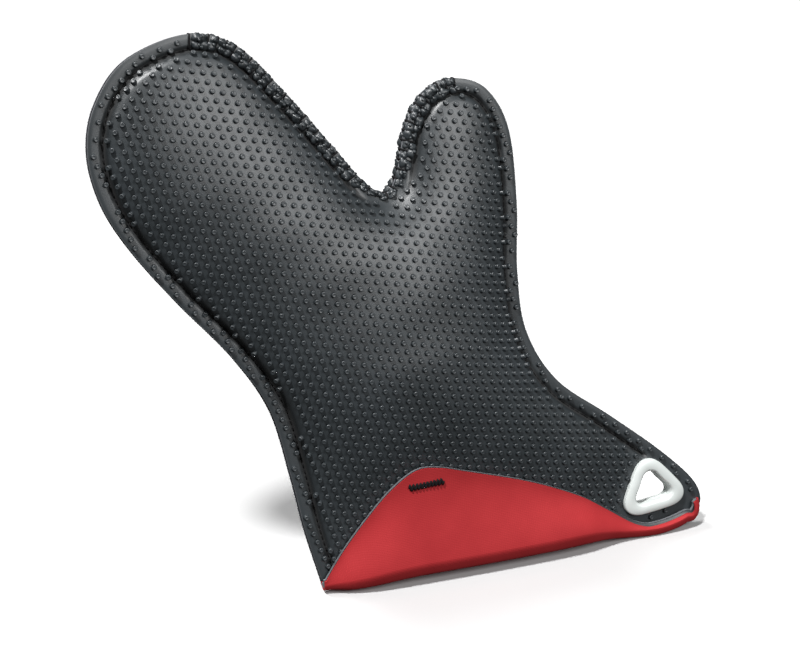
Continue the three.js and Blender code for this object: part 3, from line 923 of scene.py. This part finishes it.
def seam_stitches(side, line):
    """Short stitches lying in the groove."""
    shapes = []
    reach = np.linspace(-0.5, 0.5, 7)
    radius = STITCH["radius"] * np.sqrt(np.maximum(0.02, 1 - (2 * np.abs(reach)) ** 6))
    lift = STITCH["lift"] * (1 - (2 * reach) ** 2)
    for point, way in zip(line, unit(np.gradient(line, axis=0))):
        spots = point + way * reach[:, None] * STITCH["length"]
        height = skin_top(spots, side) + 0.1 + lift
        shapes.append(tube(np.column_stack([spots, side * height]), radius, 6))
    return together(shapes)


def make_seams(looks):
    line = resample(groove_line, STITCH["step"])
    u, v = line.T
    by_ring = (u > STITCH["ring"][0]) & (v < STITCH["ring"][1])
    shown = (v > STITCH["lowest"]) & ~by_ring & (from_crotch(line) > GATHER["to"])
    made = {}
    for name, (side, _) in PANELS.items():
        for part, mine in split(line):
            made[part, name] = add_mesh(
                f"seam_stitches_{name}_{part}", *seam_stitches(side, line[mine & shown]),
                [looks["thread"]])
    return made


def whip_turn(centre, way, into, _number):
    """One turn of thread from the front face, over the cut edge, to the back face."""
    reach = gather_width(centre[None])[0] - WHIP["short"]
    middle = (centre + into * reach / 2)[None]
    front, back = [skin_top(middle, side)[0] + 0.1 for side in (FRONT, BACK)]
    profile = [
        (reach, -0.9), (reach - 0.8, -0.1), (reach / 2, 0.3), (1.4, 0.2), (0.5, -0.3), (0.1, -1.3)]
    turns = [(d, front + w) for d, w in profile] + [(0, 0)]
    turns += [(d, -back - w) for d, w in profile[::-1]]
    slant = np.linspace(-0.8, 0.8, len(turns))
    path = [[*(centre + into * d + way * s), w] for (d, w), s in zip(turns, slant)]
    return [tube(spline(path, 0.8), WHIP["radius"], 7)]


# Two rows of lumps, each row's (inset, reach) as shares of the sewn-over band
LOBE = {"along": 2.75, "out": 2.5, "sink": 0.8, "rows": ((0.24, 0.30), (0.73, 0.31))}


def lobe_shape(rings=9, sides=14):
    """A unit ball's points and faces."""
    tilt = np.linspace(0, math.pi, rings + 2)[1:-1, None]
    turn = np.linspace(0, 2 * math.pi, sides, endpoint=False)
    ball = np.stack(np.broadcast_arrays(
        np.sin(tilt) * np.cos(turn), np.sin(tilt) * np.sin(turn), np.cos(tilt)), -1).reshape(-1, 3)
    faces = [[a, d, c, b] for a, b, c, d in ring_faces(rings, sides)]
    last, top = (rings - 1) * sides, rings * sides
    faces += [(top, k, (k + 1) % sides) for k in range(sides)]
    faces += [(top + 1, last + (k + 1) % sides, last + k) for k in range(sides)]
    return np.vstack([ball, (0, 0, 1), (0, 0, -1)]), faces


def pucker(ball, seed):
    """The ball made lumpy, each in its own way."""
    x, y, z = ball.T
    lump = (0.10 * np.sin(3.1 * x + 2.3 * seed) * np.cos(2.7 * y + seed)
            + 0.07 * np.sin(5.3 * y - 1.7 * seed + 2 * z)
            + 0.06 * np.sin(6.1 * x + 4.3 * z + seed))
    return ball * (1 + lump)[:, None]


def lobes(point, way, into, number):
    """A station of the puckered edge: two lumps on each side, with a squashed peg on each.

    The waves of the seed only make each lump unlike the next.
    """
    ball, faces = lobe_shape()
    band = gather_width(point[None])[0]
    shapes = []
    for side, row in ((FRONT, 0), (FRONT, 1), (BACK, 0), (BACK, 1)):
        inset, across = LOBE["rows"][row]
        seed = 2 * number + row + 0.5 * side
        grown = 1 + 0.13 * math.sin(seed * 2.4)
        sizes = np.array([LOBE["along"], across * band, LOBE["out"]]) * grown
        local = pucker(ball, seed) * sizes
        slide = way * 0.9 * math.sin(seed * 1.9)
        centre = point + into * (inset * band + 0.5 * math.cos(seed * 3.1)) + slide
        height = skin_top(centre[None], side)[0] - LOBE["sink"]
        flat = centre + local[:, :1] * way + local[:, 1:2] * into
        shapes.append((np.column_stack([flat, side * (height + local[:, 2])]), faces))
        shapes.append(lobe_peg(centre, way, into, side, height, sizes, seed))
    return shapes


def lobe_peg(centre, way, into, side, height, sizes, seed):
    across, along = 0.45 * math.sin(seed * 2.1), 0.45 * math.sin(seed * 1.3)
    up = math.sqrt(1 - across**2 - along**2)
    spot = centre + way * along * sizes[0] + into * across * sizes[1]
    foot = np.array([*spot, side * (height + up * sizes[2] - 0.5)])
    lean = np.array([*(way * along * 0.8 + into * across * 0.5), side * up])
    lean /= np.linalg.norm(lean)
    path = foot + lean * np.array([0, 0.75, 1.1, 1.25])[:, None]
    return tube(path, np.array([1.0, 0.9, 0.75, 0.4]), 7)


def sewn_over(name, points, along, shapes_at, material):
    """The shapes at each place along the sewn-over edge, as one mesh for each piece."""
    shapes = {"main": [], "thumb": []}
    along = unit(along)
    for number, (point, way, into) in enumerate(zip(points, along, inward(along))):
        part = "thumb" if on_thumb((point + into)[None])[0] else "main"
        shapes[part] += shapes_at(point, way, into, number)
    return {
        part: add_mesh(f"{name}_{part}", *together(some), [material])
        for part, some in shapes.items()}


def make_edge(looks):
    """The turns of thread round the sewn-over edge, and the lumps between them."""
    line = resample(edge[whipped(edge)], WHIP["step"])
    middles = (line[1:] + line[:-1]) / 2
    return (
        sewn_over("edge_whipping", line, np.gradient(line, axis=0), whip_turn, looks["thread"]),
        sewn_over("puckered_edge", middles, np.diff(line, axis=0), lobes, looks["rubber"]))


def make_tack(looks):
    """A bar tack: one thread to and fro through the turned-up cuff."""
    share = np.linspace(0, 1, TOOTH["count"] * 12)
    u = TACK["u"] + TACK["length"] * (share - 0.5)
    swing = np.arcsin(np.sin(math.pi * 2 * TOOTH["count"] * share)) / (math.pi / 2)
    v = TACK["v"] + TOOTH["slope"] * (u - TACK["u"]) + TACK["height"] / 2 * swing
    top = np.interp(u, *np.asarray(FLAP_EDGE, float).T)
    fold = fold_line(u) - LIFT
    flap_share = np.clip((v - fold) / (top - fold), 0, 1)
    w = flap_out(u, v, flap_share, PANEL, cuff_clear(u)) + TOOTH["radius"] * 0.9
    path = np.column_stack([u, v, w])
    return add_mesh("cuff_bar_tack", *tube(path, TOOTH["radius"], 6), [looks["thread"]])


# ---- Materials
class Shader:
    """A procedural material built one node at a time."""

    def __init__(self, name, roughness, **fixed):
        self.material = bpy.data.materials.new(name)
        self.material.use_nodes = True
        self.tree = self.material.node_tree
        self.surface = self.tree.nodes["Principled BSDF"]
        self.surface.inputs["Roughness"].default_value = roughness
        for socket, value in fixed.items():
            self.surface.inputs[socket.replace("_", " ")].default_value = value
        self.place = self.node("ShaderNodeAttribute", attribute_name="cloth").outputs["Vector"]

    def node(self, kind, inputs=None, **settings):
        made = self.tree.nodes.new(kind)
        for key, value in settings.items():
            setattr(made, key, value)
        for key, value in (inputs or {}).items():
            if isinstance(value, bpy.types.NodeSocket):
                self.tree.links.new(value, made.inputs[key])
            else:
                made.inputs[key].default_value = value
        return made

    def noise(self, scale, detail=2.0):
        inputs = {"Vector": self.place, "Scale": scale, "Detail": detail}
        return self.node("ShaderNodeTexNoise", inputs).outputs["Fac"]

    def math(self, operation, *values):
        return self.node("ShaderNodeMath", dict(enumerate(values)), operation=operation).outputs[0]

    def ramp(self, value, low, high, span=(0.3, 0.7)):
        made = self.node("ShaderNodeValToRGB", {"Fac": value})
        for element, at, colour in zip(made.color_ramp.elements, span, (low, high)):
            element.position, element.color = at, (*colour, 1)
        return made.outputs["Color"]

    def spread(self, value, low, high):
        made = self.node("ShaderNodeMapRange", {"Value": value, "To Min": low, "To Max": high})
        return made.outputs["Result"]

    def finish(self, colour, height, distance, strength=1.0, roughness=None):
        bump = self.node(
            "ShaderNodeBump", {"Height": height, "Distance": distance, "Strength": strength})
        link, sockets = self.tree.links.new, self.surface.inputs
        link(bump.outputs["Normal"], sockets["Normal"])
        link(colour, sockets["Base Color"])
        if roughness is not None:
            link(roughness, sockets["Roughness"])
        return self.material


def rubber_look():
    shader = Shader("nubbed_rubber", 0.45, Specular_IOR_Level=0.75)
    painted_groove_shade = shader.node("ShaderNodeAttribute", attribute_name="painted_groove_shade").outputs["Fac"]
    blotch, grain = shader.noise(28, 4), shader.noise(1900, 3)
    colour = shader.ramp(blotch, (0.019, 0.0240, 0.027), (0.029, 0.0355, 0.040))
    # Painted shade: along the groove the colour is mixed towards near black, where shadow falls in
    # the sewn crease. The groove is also made rougher.
    dark = (0.002, 0.002, 0.002, 1)
    shade = shader.node("ShaderNodeMix", {0: painted_groove_shade, 6: colour, 7: dark}, data_type="RGBA")
    rough = shader.math("MAXIMUM", shader.spread(shader.noise(90, 3), 0.37, 0.49), painted_groove_shade)
    return shader.finish(shade.outputs[2], grain, 0.00012, 0.5, rough)


def cut_look():
    shader = Shader("cut_rubber_edge", 0.7)
    grain = shader.noise(700, 4)
    colour = shader.ramp(grain, (0.08, 0.085, 0.095), (0.18, 0.185, 0.20))
    return shader.finish(colour, grain, 0.0002, 0.6)


def knit_look():
    """Fine ribs of loops, all a little uneven, with a soft sheen."""
    shader = Shader("red_knit", 0.7, Specular_IOR_Level=0.25)
    axes = shader.node("ShaderNodeSeparateXYZ", {0: shader.place})
    bend = shader.math("MULTIPLY", shader.noise(60, 2), 0.0006)
    along = shader.math("ADD", axes.outputs["X"], bend)
    ribs = shader.math("SINE", shader.math("MULTIPLY", along, 2 * math.pi / 0.0011))
    loops = shader.math("SINE", shader.math("MULTIPLY", axes.outputs["Y"], 2 * math.pi / 0.0009))
    height = shader.math("MULTIPLY_ADD", ribs, 0.5, shader.math("MULTIPLY", loops, 0.35))
    fuzz = shader.math("MULTIPLY_ADD", shader.noise(1500, 3), 1.2, height)
    # The tone is uneven at random. The ribs' raised tops are also a little lighter than the hollows
    # between them, which is painted shade between the loops.
    tone = shader.math("MULTIPLY_ADD", height, 0.05, shader.noise(45, 4))
    colour = shader.ramp(tone, (0.34, 0.017, 0.021), (0.41, 0.025, 0.029), (0.2, 0.8))
    return shader.finish(colour, fuzz, 0.00006, 0.5)


def thread_look():
    shader = Shader("sewing_thread", 0.8, Specular_IOR_Level=0.2)
    fibres = shader.noise(2600, 3)
    colour = shader.ramp(fibres, (0.003, 0.003, 0.0035), (0.010, 0.010, 0.011))
    return shader.finish(colour, fibres, 0.0001, 0.8)


def plastic_look():
    shader = Shader("satin_plastic", 0.32)
    haze, grain = shader.noise(120, 3), shader.noise(2200, 2)
    colour = shader.ramp(haze, (0.58, 0.615, 0.60), (0.63, 0.665, 0.65))
    return shader.finish(colour, grain, 0.00003, 0.4, shader.spread(haze, 0.28, 0.4))


def floor_look():
    shader = Shader("pale_floor", 0.9, Specular_IOR_Level=0.2)
    colour = shader.ramp(shader.noise(3, 2), (0.53, 0.53, 0.53), (0.55, 0.55, 0.55))
    return shader.finish(colour, shader.noise(400, 2), 0.00005, 0.2)


# ---- Bodies
CLOTHS = {"main": ("palm", "knuckle_fold", "fingers"), "thumb": ("thumb_fold", "thumb")}
SEAMS = {"main": ("palm_left", "fingers", "crotch", "palm_right"), "thumb": ("thumb",)}
FOLDS = {"main": (KNUCKLE, "fingers"), "thumb": (THUMB_BASE, "thumb")}


def declare_cloth(piece):
    """Reads the size the sheet was cut to, as its cloth lies flat; nothing is done with it."""
    laid = np.empty(3 * len(piece.data.vertices), np.float32)
    piece.data.attributes["cloth"].data.foreach_get("vector", laid)


def stand_for(pieces, layer, slot):
    for (part, name), piece in pieces.items():
        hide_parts(*[f"{place_name}_{layer}_{name}" for place_name in CLOTHS[part]])
        finish_piece(piece, part, slot)
        declare_cloth(piece)


def finish_piece(piece, part, slot):
    """Works out where the piece's fold starts and ends, and bakes its transform into its mesh; it
    is not made to bend.
    """
    fold, child = FOLDS[part]
    middle, _, up = fold_frame(fold)
    start, end = place([np.append(middle + up * fold["half"] * way, 0) for way in (-1, 1)])
    tuple(start)
    tuple(end)
    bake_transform(piece)


# ---- Studio
VIEW = {"azimuth": -20, "elevation": 22, "distance": 0.9822, "lens": 85}
TARGET = (-7.69, 131.2, 0)
LIT = (0, 130, 0)  # the place on the mitt that the lights are aimed at
WORLD = 0.1
FLOOR_HALF = 12  # metres


def add_camera():
    a, e = math.radians(VIEW["azimuth"]), math.radians(VIEW["elevation"])
    back = Vector((math.sin(a) * math.cos(e), -math.cos(a) * math.cos(e), math.sin(e)))
    data = bpy.data.cameras.new("camera")
    data.lens, data.sensor_width = VIEW["lens"], 36
    place_m = Vector(place(TARGET)) + back * VIEW["distance"]
    camera = add_object("camera", data, place_m, (-back).to_track_quat("-Z", "Y"))
    bpy.context.scene.camera = camera


def add_lamp(name, kind, towards, power, distance_m=0.0, **settings):
    """A light that shines on the mitt from the given direction."""
    data = bpy.data.lights.new(name, kind)
    data.energy = power
    for key, value in settings.items():
        setattr(data, key, value)
    way = Vector(towards).normalized()
    add_object(name, data, Vector(place(LIT)) + way * distance_m, way.to_track_quat("Z", "Y"))


def add_floor(look):
    half = FLOOR_HALF
    mesh = bpy.data.meshes.new("floor")
    corners = [(-half, -half, 0), (half, -half, 0), (half, half, 0), (-half, half, 0)]
    mesh.from_pydata(corners, [], [(0, 1, 2, 3)])
    mesh.materials.append(look)
    floor = add_object("floor", mesh)
    floor.visible_glossy = floor.visible_diffuse = False  # its glare stays off the rubber


def add_studio(look):
    add_lamp("top", "SUN", (-0.35, 0.42, 0.84), 2.4, angle=math.radians(20))
    add_lamp("key", "SUN", (-0.38, -0.22, 0.90), 4.3, angle=math.radians(7))
    add_lamp("sheen", "AREA", (0.28, -0.80, 0.53), 10, 1.25, shape="SQUARE", size=0.55)
    world = bpy.data.worlds.new("studio")
    world.use_nodes = True
    background = world.node_tree.nodes["Background"].inputs
    background["Color"].default_value = (1, 1, 1, 1)
    background["Strength"].default_value = WORLD
    bpy.context.scene.world = world
    add_floor(look)
    bpy.context.scene.view_settings.view_transform = "Standard"


def build_bending(looks):
    """The pieces that lie across the two folds."""
    stand_for(make_skins(looks), "skin", "rubber_skin")
    stand_for(make_linings(looks), "lining", "lining")
    for (part, _), piece in make_pegs(looks).items():
        finish_piece(piece, part, "rubber_skin")
    for (part, name), piece in make_seams(looks).items():
        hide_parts(*[f"{where}_seam_thread_{name}" for where in SEAMS[part]])
        finish_piece(piece, part, "thread")
    whipping, puckered = make_edge(looks)
    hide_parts("fingers_edge_thread", "crotch_edge_thread")
    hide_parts("thumb_edge_thread")
    for pieces, slot in ((whipping, "thread"), (puckered, "rubber_skin")):
        for part, piece in pieces.items():
            finish_piece(piece, part, slot)


def build_riding(looks):
    """The pieces that stay on the palm."""
    cuff, tack = make_cuff(looks), make_tack(looks)
    riders = [
        (cuff["skin"], "turned_cuff_skin", "rubber_skin"),
        (cuff["lining"], "turned_cuff_lining", "lining"), (tack, "cuff_bartack", "thread")]
    for name, (side, _) in PANELS.items():
        riders.append((make_ring(f"ring_{name}", side, looks), f"hanging_ring_{name}", "ring"))
    for piece in cuff.values():
        declare_cloth(piece)
    for piece, node, slot in riders:
        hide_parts(node)
        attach(piece, "palm")


def build():
    looks = {
        "rubber": rubber_look(), "cut": cut_look(), "knit": knit_look(),
        "thread": thread_look(), "plastic": plastic_look(), "floor": floor_look(),
    }
    build_bending(looks)
    build_riding(looks)
    add_camera()
    add_studio(looks["floor"])


build()
